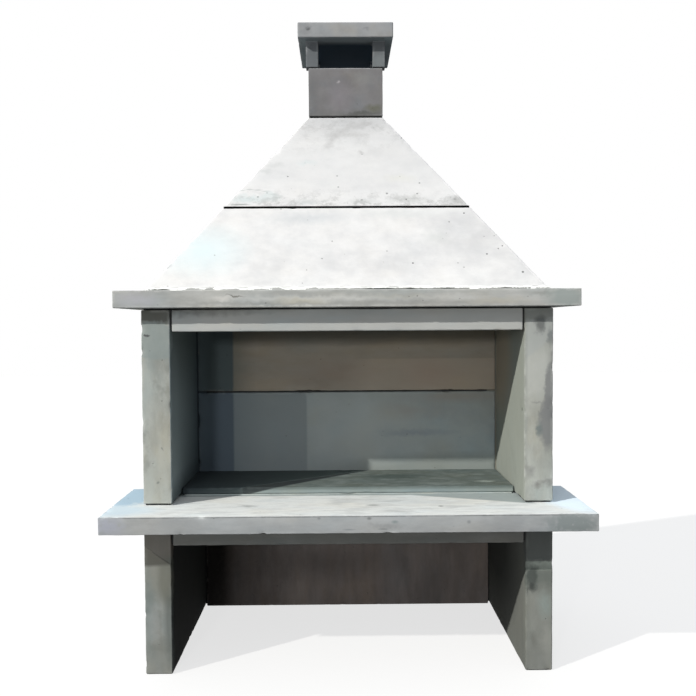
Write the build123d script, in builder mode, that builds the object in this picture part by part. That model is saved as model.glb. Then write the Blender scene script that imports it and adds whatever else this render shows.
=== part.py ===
"""Outdoor masonry barbecue, stacked from precast concrete pieces in mortar."""
from build123d import *
import os

os.makedirs("parts", exist_ok=True)

# Sizes are in millimetres. The floor is at Z = 0 and the barbecue faces -Y.
# The origin is on the floor, in the middle of the whole footprint.

# Mortar joints: how thick they are, and how far they are raked out behind the faces
joint = 4
joint_rake = 8

# Base: two side legs, closed at the back, with a lintel at the front
base_width = 1400
leg_thickness = 95
leg_depth = 700
leg_height = 520
leg_edge_radius = 6
lower_back_thickness = 55
lower_lintel_height = 76
lower_lintel_thickness = 50
panel_edge_chamfer = 3

# Worktop slab with its two wings, and the slab behind it
worktop_thickness = 60
worktop_front_overhang = 158
worktop_side_overhang = 107
worktop_depth = 438
worktop_edge_radius = 4

# Raised hearth between the firebox walls
hearth_thickness = 24
hearth_setback = 148
hearth_clearance = 2
hearth_edge_chamfer = 3

# Firebox: side walls, two stacked back panels and the front lintel
wall_thickness = 100
wall_depth = 524
wall_height = 662
wall_edge_radius = 5
back_panel_thickness = 50
back_panel_lower_height = 338
upper_lintel_height = 76
upper_lintel_thickness = 50

# Mantel slab, and the ledges it leaves round its smoke opening
mantel_thickness = 60
mantel_front_overhang = 50
mantel_side_overhang = 81
mantel_edge_radius = 4
throat_side_ledge = 40
throat_front_ledge = 30
throat_back_ledge = 34
throat_corner_radius = 25

# Hollow hood: a pyramid with an upright back, cut level into two sections
hood_base_joint = 10
hood_base_spread = 4
hood_base_width = 1362
hood_base_inset = 14
hood_wall = 50
hood_height = 629
hood_lower_height = 282
hood_joint = 7
hood_joint_rake = 4
hood_edge_radius = 5

# Lip that keys each hollow piece into the rebate of the piece above it
lip_height = 18
lip_thickness = 18
lip_clearance = 1
lip_play = 3

# Square flue block
chimney_joint = 5
chimney_width = 272
chimney_depth = 272
chimney_wall = 37
chimney_height = 175
chimney_edge_radius = 3

# Rain cap, cast in one with its four posts
post_size = 46
post_height = 93
post_outer_width = 290
post_outer_depth = 272
post_edge_radius = 3
cap_width = 346
cap_depth = 346
cap_thickness = 56
cap_edge_radius = 5

# Levels, from the floor up
worktop_bottom = leg_height + joint
worktop_top = worktop_bottom + worktop_thickness
wall_bottom = worktop_top + joint
wall_top = wall_bottom + wall_height
back_panel_seam = wall_bottom + back_panel_lower_height
mantel_bottom = wall_top + joint
mantel_top = mantel_bottom + mantel_thickness
hood_bottom = mantel_top + hood_base_joint
hood_seam_bottom = hood_bottom + hood_lower_height
hood_seam_top = hood_seam_bottom + hood_joint
hood_top = hood_bottom + hood_height
chimney_bottom = hood_top + chimney_joint
chimney_top = chimney_bottom + chimney_height
post_bottom = chimney_top + joint
cap_bottom = post_bottom + post_height

# Places from front to back
front_y = (worktop_front_overhang - leg_depth) / 2
base_rear_y = front_y + leg_depth
lower_back_y = base_rear_y - lower_back_thickness
store_front_y = front_y + lower_lintel_thickness
worktop_front_y = front_y - worktop_front_overhang
worktop_rear_y = worktop_front_y + worktop_depth
rear_slab_y = worktop_rear_y + joint
hearth_front_y = front_y + hearth_setback
wall_rear_y = front_y + wall_depth
back_panel_y = wall_rear_y - back_panel_thickness
firebox_front_y = front_y + upper_lintel_thickness
hood_front_y = front_y + hood_base_inset
hood_rear_y = wall_rear_y - hood_base_inset
chimney_front_y = hood_rear_y - chimney_depth
chimney_y = hood_rear_y - chimney_depth / 2

# Clear spaces between the legs and between the walls, behind the lintels
store_width = base_width - 2 * leg_thickness
store_depth = lower_back_y - store_front_y
firebox_width = base_width - 2 * wall_thickness
firebox_depth = back_panel_y - firebox_front_y


def hood_wall_at(level):
    """Wall of the hood at a level, which thins evenly to the flue block's wall."""
    rise_share = (level - hood_bottom) / hood_height
    return hood_wall + (chimney_wall - hood_wall) * rise_share


def hood_outline(level, inset):
    """Level cut through the hood's sloping outside, drawn in all round by an inset."""
    rise_share = (level - hood_bottom) / hood_height
    width = hood_base_width + (chimney_width - hood_base_width) * rise_share
    cut_front_y = hood_front_y + (chimney_front_y - hood_front_y) * rise_share
    with BuildSketch(Plane.XY.offset(level), mode=Mode.PRIVATE) as outline:
        with Locations((0, (cut_front_y + hood_rear_y) / 2)):
            Rectangle(width - 2 * inset, hood_rear_y - cut_front_y - 2 * inset)
    return outline.sketch.face()


# The hood's sloping outside, drawn once from the front and once from the side
with BuildSketch(Plane.XZ) as hood_front_view:
    with BuildLine():
        Polyline((-hood_base_width / 2, hood_bottom), (hood_base_width / 2, hood_bottom),
                 (chimney_width / 2, hood_top), (-chimney_width / 2, hood_top), close=True)
    make_face()
with BuildSketch(Plane.YZ) as hood_side_view:
    with BuildLine():
        Polyline((hood_front_y, hood_bottom), (hood_rear_y, hood_bottom),
                 (hood_rear_y, hood_top), (chimney_front_y, hood_top), close=True)
    make_face()

# The smoke space inside it, a smaller pyramid that leaves the walls
with BuildPart() as smoke_space:
    with BuildSketch(Plane.XZ):
        with BuildLine():
            Polyline((hood_wall - hood_base_width / 2, hood_bottom),
                     (hood_base_width / 2 - hood_wall, hood_bottom),
                     (chimney_width / 2 - chimney_wall, hood_top),
                     (chimney_wall - chimney_width / 2, hood_top), close=True)
        make_face()
    extrude(amount=wall_depth, both=True)
    with BuildSketch(Plane.YZ):
        with BuildLine():
            Polyline((hood_front_y + hood_wall, hood_bottom), (hood_rear_y - hood_wall, hood_bottom),
                     (hood_rear_y - chimney_wall, hood_top),
                     (chimney_front_y + chimney_wall, hood_top), close=True)
        make_face()
    extrude(amount=hood_base_width, both=True, mode=Mode.INTERSECT)

# Legs: upright slabs on edge, worn round on all their edges, the foot's too
for side, leg_name in ((-1, "leg_left"), (1, "leg_right")):
    with BuildPart() as leg:
        with BuildSketch(Plane.XY):
            with Locations((side * (base_width - leg_thickness) / 2, (front_y + base_rear_y) / 2)):
                Rectangle(leg_thickness, leg_depth)
        extrude(amount=leg_height)
        fillet(leg.edges(), leg_edge_radius)
    leg.part.label = leg_name
    export_step(leg.part, f"parts/{leg_name}.step")

# Panel that closes the wood store, flush with the back of the legs
with BuildPart() as lower_back_panel:
    with BuildSketch(Plane.XY):
        with Locations((0, (lower_back_y + base_rear_y) / 2)):
            Rectangle(store_width - 2 * joint, lower_back_thickness)
    extrude(amount=leg_height)
    chamfer(lower_back_panel.edges(), panel_edge_chamfer)
lower_back_panel.part.label = "lower_back_panel"
export_step(lower_back_panel.part, "parts/lower_back_panel.step")

# Lintel between the legs, flush with their front and top
with BuildPart() as lower_lintel:
    with BuildSketch(Plane.XY.offset(leg_height)):
        with Locations((0, front_y + lower_lintel_thickness / 2)):
            Rectangle(store_width - 2 * joint, lower_lintel_thickness)
    extrude(amount=-lower_lintel_height)
    chamfer(lower_lintel.edges(), panel_edge_chamfer)
lower_lintel.part.label = "lower_lintel"
export_step(lower_lintel.part, "parts/lower_lintel.step")

# Bed on the legs, panel and lintel, with the mortar at the ends of the panel and lintel
with BuildPart() as mortar_worktop_bed:
    with BuildSketch(Plane.XY.offset(leg_height)):
        with Locations((0, (front_y + base_rear_y) / 2)):
            Rectangle(base_width - 2 * joint_rake, leg_depth - 2 * joint_rake)
        with Locations((0, (store_front_y + lower_back_y) / 2)):
            Rectangle(store_width + 2 * joint_rake, store_depth + 2 * joint_rake, mode=Mode.SUBTRACT)
    extrude(amount=joint)
    with BuildSketch(Plane.XY.offset(leg_height)):
        with Locations((0, front_y + lower_lintel_thickness / 2)):
            with GridLocations(store_width - joint, 0, 2, 1):
                Rectangle(joint, lower_lintel_thickness - 2 * joint_rake)
    extrude(amount=-(lower_lintel_height - joint_rake))
    with BuildSketch(Plane.XY.offset(leg_height)):
        with Locations((0, (lower_back_y + base_rear_y) / 2)):
            with GridLocations(store_width - joint, 0, 2, 1):
                Rectangle(joint, lower_back_thickness - 2 * joint_rake)
    extrude(amount=-(leg_height - joint_rake))
mortar_worktop_bed.part.label = "mortar_worktop_bed"
export_step(mortar_worktop_bed.part, "parts/mortar_worktop_bed.step")

# Worktop slab, whose wings stand out past the legs
with BuildPart() as worktop_slab:
    with BuildSketch(Plane.XY.offset(worktop_bottom)):
        with Locations((0, (worktop_front_y + worktop_rear_y) / 2)):
            Rectangle(base_width + 2 * worktop_side_overhang, worktop_depth)
    extrude(amount=worktop_thickness)
    fillet(worktop_slab.edges(), worktop_edge_radius)
worktop_slab.part.label = "worktop_slab"
export_step(worktop_slab.part, "parts/worktop_slab.step")

# Slab behind it, no wider than the legs
with BuildPart() as rear_base_slab:
    with BuildSketch(Plane.XY.offset(worktop_bottom)):
        with Locations((0, (rear_slab_y + base_rear_y) / 2)):
            Rectangle(base_width, base_rear_y - rear_slab_y)
    extrude(amount=worktop_thickness)
    chamfer(rear_base_slab.edges(), panel_edge_chamfer)
rear_base_slab.part.label = "rear_base_slab"
export_step(rear_base_slab.part, "parts/rear_base_slab.step")

# Upright joint between the two slabs
with BuildPart() as mortar_slab_joint:
    with BuildSketch(Plane.XY.offset(worktop_bottom)):
        with Locations((0, (worktop_rear_y + rear_slab_y) / 2)):
            Rectangle(base_width - 2 * joint_rake, joint)
    extrude(amount=worktop_thickness)
mortar_slab_joint.part.label = "mortar_slab_joint"
export_step(mortar_slab_joint.part, "parts/mortar_slab_joint.step")

# Hearth: a thin fire-resisting slab, raised on its own bed
hearth_width = firebox_width - 2 * hearth_clearance
hearth_rear_y = back_panel_y - hearth_clearance
with BuildPart() as mortar_hearth_bed:
    with BuildSketch(Plane.XY.offset(worktop_top)):
        with Locations((0, (hearth_front_y + hearth_rear_y) / 2)):
            Rectangle(hearth_width - 2 * joint_rake, hearth_rear_y - hearth_front_y - 2 * joint_rake)
    extrude(amount=joint)
mortar_hearth_bed.part.label = "mortar_hearth_bed"
export_step(mortar_hearth_bed.part, "parts/mortar_hearth_bed.step")

with BuildPart() as hearth_slab:
    with BuildSketch(Plane.XY.offset(worktop_top + joint)):
        with Locations((0, (hearth_front_y + hearth_rear_y) / 2)):
            Rectangle(hearth_width, hearth_rear_y - hearth_front_y)
    extrude(amount=hearth_thickness)
    chamfer(hearth_slab.edges(), hearth_edge_chamfer)
hearth_slab.part.label = "hearth_slab"
export_step(hearth_slab.part, "parts/hearth_slab.step")

# U-shaped bed under the walls and back panels
with BuildPart() as mortar_wall_bed:
    with BuildSketch(Plane.XY.offset(worktop_top)):
        with Locations((0, (front_y + wall_rear_y) / 2)):
            Rectangle(base_width - 2 * joint_rake, wall_depth - 2 * joint_rake)
        with Locations((0, back_panel_y + joint_rake)):
            Rectangle(firebox_width + 2 * joint_rake, wall_depth, align=(Align.CENTER, Align.MAX),
                      mode=Mode.SUBTRACT)
    extrude(amount=joint)
mortar_wall_bed.part.label = "mortar_wall_bed"
export_step(mortar_wall_bed.part, "parts/mortar_wall_bed.step")

# Firebox side walls, above the legs and flush with their fronts and outer sides
for side, wall_name in ((-1, "wall_left"), (1, "wall_right")):
    with BuildPart() as wall:
        with BuildSketch(Plane.XY.offset(wall_bottom)):
            with Locations((side * (base_width - wall_thickness) / 2, (front_y + wall_rear_y) / 2)):
                Rectangle(wall_thickness, wall_depth)
        extrude(amount=wall_height)
        fillet(wall.edges(), wall_edge_radius)
    wall.part.label = wall_name
    export_step(wall.part, f"parts/{wall_name}.step")

# Back panels, one standing on the other between the walls
with BuildPart() as back_panel_lower:
    with BuildSketch(Plane.XY.offset(wall_bottom)):
        with Locations((0, (back_panel_y + wall_rear_y) / 2)):
            Rectangle(firebox_width - 2 * joint, back_panel_thickness)
    extrude(amount=back_panel_lower_height)
    chamfer(back_panel_lower.edges(), panel_edge_chamfer)
back_panel_lower.part.label = "back_panel_lower"
export_step(back_panel_lower.part, "parts/back_panel_lower.step")

with BuildPart() as back_panel_upper:
    with BuildSketch(Plane.XY.offset(wall_top)):
        with Locations((0, (back_panel_y + wall_rear_y) / 2)):
            Rectangle(firebox_width - 2 * joint, back_panel_thickness)
    extrude(amount=-(wall_height - back_panel_lower_height - joint))
    chamfer(back_panel_upper.edges(), panel_edge_chamfer)
back_panel_upper.part.label = "back_panel_upper"
export_step(back_panel_upper.part, "parts/back_panel_upper.step")

# Mortar between the back panels and up both their ends, in the shape of an H
with BuildPart() as mortar_back_joints:
    with BuildSketch(Plane.XZ.offset(-(back_panel_y + joint_rake))):
        with Locations((0, (wall_bottom + wall_top) / 2)):
            with GridLocations(firebox_width - joint, 0, 2, 1):
                Rectangle(joint, wall_height)
        with Locations((0, back_panel_seam + joint / 2)):
            Rectangle(firebox_width, joint)
    extrude(amount=-(back_panel_thickness - 2 * joint_rake))
mortar_back_joints.part.label = "mortar_back_joints"
export_step(mortar_back_joints.part, "parts/mortar_back_joints.step")

# Lintel between the walls, flush with their front and top
with BuildPart() as upper_lintel:
    with BuildSketch(Plane.XY.offset(wall_top)):
        with Locations((0, front_y + upper_lintel_thickness / 2)):
            Rectangle(firebox_width - 2 * joint, upper_lintel_thickness)
    extrude(amount=-upper_lintel_height)
    chamfer(upper_lintel.edges(), panel_edge_chamfer)
upper_lintel.part.label = "upper_lintel"
export_step(upper_lintel.part, "parts/upper_lintel.step")

# Bed on the walls, back panel and lintel, with the mortar at the lintel's ends
with BuildPart() as mortar_mantel_bed:
    with BuildSketch(Plane.XY.offset(wall_top)):
        with Locations((0, (front_y + wall_rear_y) / 2)):
            Rectangle(base_width - 2 * joint_rake, wall_depth - 2 * joint_rake)
        with Locations((0, (firebox_front_y + back_panel_y) / 2)):
            Rectangle(firebox_width + 2 * joint_rake, firebox_depth + 2 * joint_rake,
                      mode=Mode.SUBTRACT)
    extrude(amount=joint)
    with BuildSketch(Plane.XY.offset(wall_top)):
        with Locations((0, front_y + upper_lintel_thickness / 2)):
            with GridLocations(firebox_width - joint, 0, 2, 1):
                Rectangle(joint, upper_lintel_thickness - 2 * joint_rake)
    extrude(amount=-(upper_lintel_height - joint_rake))
mortar_mantel_bed.part.label = "mortar_mantel_bed"
export_step(mortar_mantel_bed.part, "parts/mortar_mantel_bed.step")

# Mantel slab: overhangs the front and sides, and lets the smoke through to the hood
mantel_front_y = front_y - mantel_front_overhang
throat_front_y = firebox_front_y + throat_front_ledge
throat_rear_y = back_panel_y - throat_back_ledge
throat_width = firebox_width - 2 * throat_side_ledge
with BuildPart() as mantel_slab:
    with BuildSketch(Plane.XY.offset(mantel_bottom)):
        with Locations((0, (mantel_front_y + wall_rear_y) / 2)):
            Rectangle(base_width + 2 * mantel_side_overhang, wall_rear_y - mantel_front_y)
    extrude(amount=mantel_thickness)
    fillet(mantel_slab.edges(), mantel_edge_radius)
    with BuildSketch(Plane.XY.offset(mantel_bottom)):
        with Locations((0, (throat_front_y + throat_rear_y) / 2)):
            RectangleRounded(throat_width, throat_rear_y - throat_front_y, throat_corner_radius)
    extrude(amount=mantel_thickness, mode=Mode.SUBTRACT)
mantel_slab.part.label = "mantel_slab"
export_step(mantel_slab.part, "parts/mantel_slab.step")

# Mortar that the hood stands in, spreading out onto the mantel
with BuildPart() as mortar_hood_base:
    loft([hood_outline(mantel_top, -hood_base_spread), hood_outline(hood_bottom, 0)], ruled=True)
    extrude(hood_outline(hood_bottom, hood_wall - joint_rake), amount=-hood_base_joint, mode=Mode.SUBTRACT)
mortar_hood_base.part.label = "mortar_hood_base"
export_step(mortar_hood_base.part, "parts/mortar_hood_base.step")

# Lower section of the hood, with a lip round the inner half of its top
seam_wall = hood_wall_at(hood_seam_bottom)
seam_lip_inset = seam_wall - lip_thickness
with BuildPart() as hood_lower:
    extrude(hood_front_view.sketch, amount=wall_depth, both=True)
    extrude(hood_side_view.sketch, amount=hood_base_width, both=True, mode=Mode.INTERSECT)
    split(bisect_by=Plane.XY.offset(hood_seam_bottom), keep=Keep.BOTTOM)
    corners = hood_lower.edges().filter_by_position(
        Axis.Z, hood_bottom, hood_seam_bottom, inclusive=(False, False))
    fillet(corners, hood_edge_radius)
    extrude(hood_outline(hood_seam_bottom, seam_lip_inset), amount=lip_height)
    add(smoke_space.part, mode=Mode.SUBTRACT)
    extrude(hood_outline(hood_seam_bottom, seam_wall), amount=lip_height, mode=Mode.SUBTRACT)
hood_lower.part.label = "hood_lower"
export_step(hood_lower.part, "parts/hood_lower.step")

# Bed between the sections, outside the lip, and raked out less than the other joints
with BuildPart() as mortar_hood_joint:
    extrude(hood_outline(hood_seam_bottom, hood_joint_rake), amount=hood_joint)
    extrude(hood_outline(hood_seam_bottom, seam_lip_inset), amount=hood_joint, mode=Mode.SUBTRACT)
mortar_hood_joint.part.label = "mortar_hood_joint"
export_step(mortar_hood_joint.part, "parts/mortar_hood_joint.step")

# Upper section, rebated over the lip below it and with a lip of its own for the flue block
top_lip_inset = chimney_wall - lip_thickness
with BuildPart() as hood_upper:
    extrude(hood_front_view.sketch, amount=wall_depth, both=True)
    extrude(hood_side_view.sketch, amount=hood_base_width, both=True, mode=Mode.INTERSECT)
    split(bisect_by=Plane.XY.offset(hood_seam_top), keep=Keep.TOP)
    corners = hood_upper.edges().filter_by_position(
        Axis.Z, hood_seam_top, hood_top, inclusive=(False, False))
    fillet(corners, hood_edge_radius)
    extrude(hood_outline(hood_top, top_lip_inset), amount=lip_height)
    add(smoke_space.part, mode=Mode.SUBTRACT)
    extrude(hood_outline(hood_top, chimney_wall), amount=lip_height, mode=Mode.SUBTRACT)
    extrude(hood_outline(hood_seam_bottom, seam_lip_inset - lip_clearance),
            amount=lip_height + lip_play, mode=Mode.SUBTRACT)
hood_upper.part.label = "hood_upper"
export_step(hood_upper.part, "parts/hood_upper.step")

# Raked bed under the flue block, outside the lip
with BuildPart() as mortar_chimney_bed:
    extrude(hood_outline(hood_top, joint_rake), amount=chimney_joint)
    extrude(hood_outline(hood_top, top_lip_inset), amount=chimney_joint, mode=Mode.SUBTRACT)
mortar_chimney_bed.part.label = "mortar_chimney_bed"
export_step(mortar_chimney_bed.part, "parts/mortar_chimney_bed.step")

# Flue block: a square tube, rebated over the hood's top lip
with BuildPart() as chimney_block:
    with BuildSketch(Plane.XY.offset(chimney_bottom)):
        with Locations((0, chimney_y)):
            Rectangle(chimney_width, chimney_depth)
    extrude(amount=chimney_height)
    fillet(chimney_block.edges(), chimney_edge_radius)
    with BuildSketch(Plane.XY.offset(chimney_bottom)):
        with Locations((0, chimney_y)):
            Rectangle(chimney_width - 2 * chimney_wall, chimney_depth - 2 * chimney_wall)
    extrude(amount=chimney_height, mode=Mode.SUBTRACT)
    extrude(hood_outline(hood_top, top_lip_inset - lip_clearance),
            amount=lip_height + lip_play, mode=Mode.SUBTRACT)
chimney_block.part.label = "chimney_block"
export_step(chimney_block.part, "parts/chimney_block.step")

# Four pads of mortar on the flue block's rim, one under each post
pad_size = chimney_wall - 2 * chimney_edge_radius
with BuildPart() as mortar_cap_bed:
    with BuildSketch(Plane.XY.offset(chimney_top)):
        with Locations((0, chimney_y)):
            with GridLocations(chimney_width - chimney_wall, chimney_depth - chimney_wall, 2, 2):
                Rectangle(pad_size, pad_size)
    extrude(amount=joint)
mortar_cap_bed.part.label = "mortar_cap_bed"
export_step(mortar_cap_bed.part, "parts/mortar_cap_bed.step")

# Rain cap: a slab on four posts, open on all four sides
with BuildPart() as chimney_cap:
    with BuildSketch(Plane.XY.offset(cap_bottom)):
        with Locations((0, chimney_y)):
            Rectangle(cap_width, cap_depth)
    extrude(amount=cap_thickness)
    fillet(chimney_cap.edges(), cap_edge_radius)
    with BuildSketch(Plane.XY.offset(cap_bottom)):
        with Locations((0, chimney_y)):
            with GridLocations(post_outer_width - post_size, post_outer_depth - post_size, 2, 2):
                RectangleRounded(post_size, post_size, post_edge_radius)
    extrude(amount=-post_height)
chimney_cap.part.label = "chimney_cap"
export_step(chimney_cap.part, "parts/chimney_cap.step")
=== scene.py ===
"""Outdoor masonry barbecue: worn concrete, mortar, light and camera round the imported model."""
import math

import bpy
from bpy.props import FloatProperty, FloatVectorProperty, PointerProperty
from mathutils import Matrix, Vector
from mathutils.kdtree import KDTree


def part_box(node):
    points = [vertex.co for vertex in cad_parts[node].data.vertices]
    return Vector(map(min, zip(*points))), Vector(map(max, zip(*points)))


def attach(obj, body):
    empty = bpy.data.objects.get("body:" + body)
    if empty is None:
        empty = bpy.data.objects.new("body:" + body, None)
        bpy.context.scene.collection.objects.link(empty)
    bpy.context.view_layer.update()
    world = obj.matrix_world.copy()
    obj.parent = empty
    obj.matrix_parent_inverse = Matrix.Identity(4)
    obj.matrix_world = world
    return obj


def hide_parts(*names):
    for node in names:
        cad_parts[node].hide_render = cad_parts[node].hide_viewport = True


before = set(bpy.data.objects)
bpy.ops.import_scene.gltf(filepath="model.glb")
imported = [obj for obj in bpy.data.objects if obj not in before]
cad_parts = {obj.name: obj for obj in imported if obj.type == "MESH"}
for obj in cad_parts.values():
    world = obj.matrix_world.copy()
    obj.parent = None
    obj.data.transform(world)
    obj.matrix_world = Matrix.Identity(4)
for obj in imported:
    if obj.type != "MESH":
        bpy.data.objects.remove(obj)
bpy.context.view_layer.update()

bl_info = {
    "name": "Masonry barbecue",
    "version": (1, 0, 0),
    "blender": (4, 5, 0),
    "location": "3D View > Sidebar > Barbecue",
    "description": "Weathered precast concrete barbecue with hood, flue and mortar joints",
    "category": "Object",
}


# Places of the faces that are looked at most: fronts along y and tops along z, in metres
WALL_FRONT = -0.271
MANTEL_FRONT = -0.321
WORKTOP_FRONT = -0.429
HEARTH_FRONT = -0.123
HOOD_BED_FRONT = -0.262
PANEL_FRONT = 0.203
STORE_FRONT = 0.374
FLUE_FRONT = -0.033
CAP_FRONT = -0.07
CAP_MIDDLE = 0.103
CAP_UNDERSIDE = 2.23
WORKTOP_TOP = 0.584
HEARTH_TOP = 0.612


def on_front(y, *stains):
    """Marks whose centres lie on one front, each given across and up."""
    return tuple(((x, y, z), *rest) for (x, z), *rest in stains)


def on_top(z, *stains):
    """Marks whose centres lie on one top, each given across and back."""
    return tuple(((x, y, z), *rest) for (x, y), *rest in stains)


# Marks, which are stains, painted shade and painted light: centre, reach along x, y and z
# in metres, colour, share and softness of the rim.
# Spots have ragged outlines. Coats have smooth ones, for thin faces and straight ends.
# WIDE is a reach past the ends of any piece, and SKIN one that stays on a single face.
SIDES = (-1, 1)
WIDE = 9.0
SKIN = 0.005
LEG_SPOTS = on_front(WALL_FRONT,
    # Painted shade: the right leg's top, darkened under the worktop down to a level line.
    ((0.65, 0.5), (0.5, 0.05, 0.124), "#5B5F5D", 0.85, 0.1),
    ((0.655, 0.325), (0.14, 0.03, 0.075), "#4F5955", 0.7, 0.8),
    ((0.652, 0.2), (0.14, 0.05, 0.19), "#777972", 0.5, 0.6),
    ((0.672, 0.23), (0.035, 0.05, 0.06), "#8C9A97", 0.45, 0.7),
    ((0.68, 0.09), (0.03, 0.05, 0.08), "#9C9D97", 0.45, 0.7),
    ((0.632, 0.11), (0.018, 0.05, 0.04), "#60615B", 0.45, 0.8),
    ((0.628, 0.328), (0.026, 0.03, 0.058), "#424745", 0.7, 0.5),
    ((0.625, 0.292), (0.012, 0.03, 0.02), "#3A3E3C", 0.7, 0.7),
    ((-0.652, 0.48), (0.14, 0.05, 0.1), "#837C72", 0.6, 0.3),
    ((-0.652, 0.33), (0.14, 0.05, 0.1), "#7A796F", 0.55, 0.7),
    ((-0.672, 0.345), (0.03, 0.05, 0.07), "#8E8F88", 0.3, 0.7),
    ((-0.674, 0.175), (0.028, 0.05, 0.09), "#A3A4A2", 0.5, 0.7),
    ((-0.69, 0.2), (0.035, 0.05, 0.2), "#6E7A7A", 0.45, 0.6),
    ((-0.64, 0.06), (0.09, 0.05, 0.09), "#6D726F", 0.45, 0.7),
    ((0.64, 0.04), (0.09, 0.05, 0.1), "#6F716C", 0.5, 0.8))
LEG_COATS = (
    # Painted shade: the legs' inner faces, nearly black on the left one, darker towards the back on
    # the right one.
    ((-0.605, 0.08, 0.26), (SKIN, WIDE, WIDE), "#0B0C0B", 0.96, 0.2),
    ((0.605, 0.08, 0.26), (SKIN, WIDE, WIDE), "#5C5E59", 0.8, 0.2),
    ((0.605, 0.23, 0.32), (SKIN, 0.45, 0.34), "#1C1D1B", 0.8, 0.6),
    # Painted light: a pale strip across the right leg's front, in the lower end of the worktop's
    # cast shadow.
    ((0.65, WALL_FRONT, 0.365), (0.5, 0.012, 0.0175), "#C3CCC0", 0.85, 0.15),
    ((-0.607, WALL_FRONT, 0.33), (0.054, 0.03, 0.11), "#525850", 0.6, 0.35),
    ((-0.611, WALL_FRONT, 0.18), (0.03, 0.03, 0.19), "#5A605D", 0.65, 0.6),
    ((0.607, WALL_FRONT, 0.2), (0.018, 0.03, WIDE), "#5F635F", 0.55, 0.8),
)
STORE_SPOTS = on_front(STORE_FRONT,
    # Painted shade: the wood store's back, darkened towards the left leg.
    ((-0.62, 0.25), (0.42, 0.05, 0.9), "#151515", 0.88, 0.8),
    ((0.36, 0.42), (0.24, 0.05, 0.13), "#8A6A60", 0.5, 0.9),
    ((-0.1, 0.18), (0.4, 0.05, 0.1), "#4F4B49", 0.45, 0.9))
WORKTOP_SPOTS = on_top(WORKTOP_TOP,
    # Painted light: a bluish cast of sky light on the left wing, deeper at the back, and a pale
    # bluish tint that lightens the right wall's cast shadow on the right wing.
    ((-0.8, -0.13), (0.15, 0.18, 0.02), "#9CB6C8", 0.88, 0.3),
    ((-0.8, -0.34), (0.2, 0.1, 0.02), "#BFD0DA", 0.8, 0.5),
    ((0.79, -0.18), (0.14, 0.26, 0.02), "#DFEEF8", 0.9, 0.3),
    ((-0.341, -0.288), (0.04, 0.016, 0.02), "#9FA2A1", 0.85, 0.8)) + on_front(WORKTOP_FRONT,
    ((0.72, 0.55), (0.11, 0.01, 0.05), "#778080", 0.75, 0.5),
    ((-0.78, 0.555), (0.08, 0.01, 0.04), "#A3A6B4", 0.6, 0.7),
    ((0.12, 0.55), (0.09, 0.01, 0.012), "#8A8C8C", 0.55, 0.7))
WORKTOP_COATS = on_top(WORKTOP_TOP,
    ((0.082, -0.288), (0.028, 0.01, 0.02), "#7A7D7C", 0.75, 0.6),
    ((0.31, -0.31), (0.012, 0.012, 0.02), "#747776", 0.8, 0.7),
    ((0.345, -0.308), (0.05, 0.012, 0.02), "#B0B3B2", 0.6, 0.9)) + on_front(WORKTOP_FRONT,
    ((0.0, 0.5805), (WIDE, 0.01, 0.0028), "#6A6D6E", 0.7, 0.4),
    ((-0.097, 0.575), (0.008, 0.01, 0.005), "#7B7E80", 0.8, 0.7),
    ((0.064, 0.574), (0.01, 0.01, 0.007), "#6F7272", 0.8, 0.7),
    ((0.147, 0.562), (0.014, 0.01, 0.007), "#7C8686", 0.75, 0.7),
    ((-0.001, 0.538), (0.026, 0.01, 0.004), "#828689", 0.75, 0.8),
    ((0.108, 0.539), (0.022, 0.01, 0.004), "#7C7F7F", 0.75, 0.8),
    ((0.385, 0.56), (0.009, 0.01, 0.008), "#7E8284", 0.75, 0.8))
HEARTH_COATS = on_front(HEARTH_FRONT,
    ((0.0, HEARTH_TOP), (WIDE, 0.012, 0.014), "#5D6764", 0.8, 0.7))
HEARTH_SPOTS = on_top(HEARTH_TOP,
    ((0.509, -0.041), (0.05, 0.024, 0.02), "#9AA39D", 0.8, 0.8),
    ((0.18, 0.06), (0.17, 0.06, 0.02), "#434E4B", 0.7, 0.6),
    ((0.34, -0.07), (0.12, 0.03, 0.02), "#737C77", 0.45, 0.8),
    # Painted shade: the hearth's top, darkened towards the left wall.
    ((-0.56, 0.04), (0.2, 0.34, 0.02), "#12191C", 0.6, 0.9))
WALL_SPOTS = on_front(WALL_FRONT,
    # Painted shade: the walls' fronts, darkened at the top under the mantel.
    ((-0.65, 1.262), (0.5, 0.06, 0.06), "#575853", 0.8, 0.2),
    ((0.65, 1.262), (0.5, 0.06, 0.06), "#858883", 0.72, 0.2),
    ((-0.653, 1.145), (0.1, 0.05, 0.07), "#848E8D", 0.65, 0.15),
    ((-0.682, 1.162), (0.011, 0.02, 0.006), "#4A4A4C", 0.85, 0.6),
    ((-0.635, 0.777), (0.007, 0.02, 0.009), "#7A7E7C", 0.8, 0.7),
    ((-0.646, 0.661), (0.008, 0.02, 0.007), "#6F7371", 0.8, 0.7),
    ((-0.655, 1.005), (0.007, 0.02, 0.04), "#8D908B", 0.6, 0.9),
    ((-0.612, 0.985), (0.012, 0.02, 0.045), "#8A8B83", 0.6, 0.9),
    ((0.653, 1.195), (0.024, 0.03, 0.042), "#5B5E5E", 0.75, 0.6),
    ((0.692, 1.15), (0.016, 0.03, 0.04), "#6B7071", 0.7, 0.6),
    ((0.69, 0.96), (0.024, 0.03, 0.115), "#7C7E7E", 0.9, 0.35),
    ((0.68, 0.855), (0.032, 0.03, 0.105), "#797B7B", 0.9, 0.35),
    ((0.65, 0.835), (0.014, 0.02, 0.035), "#667071", 0.75, 0.7),
    ((0.645, 0.928), (0.03, 0.02, 0.006), "#848684", 0.65, 0.8),
    ((0.643, 0.643), (0.022, 0.02, 0.016), "#747371", 0.75, 0.9),
    ((0.668, 0.656), (0.026, 0.02, 0.009), "#7C7C7A", 0.65, 0.9),
    ((0.692, 0.65), (0.02, 0.02, 0.018), "#727372", 0.75, 0.9),
    ((0.618, 0.69), (0.024, 0.02, 0.03), "#828482", 0.65, 0.9))
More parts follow.
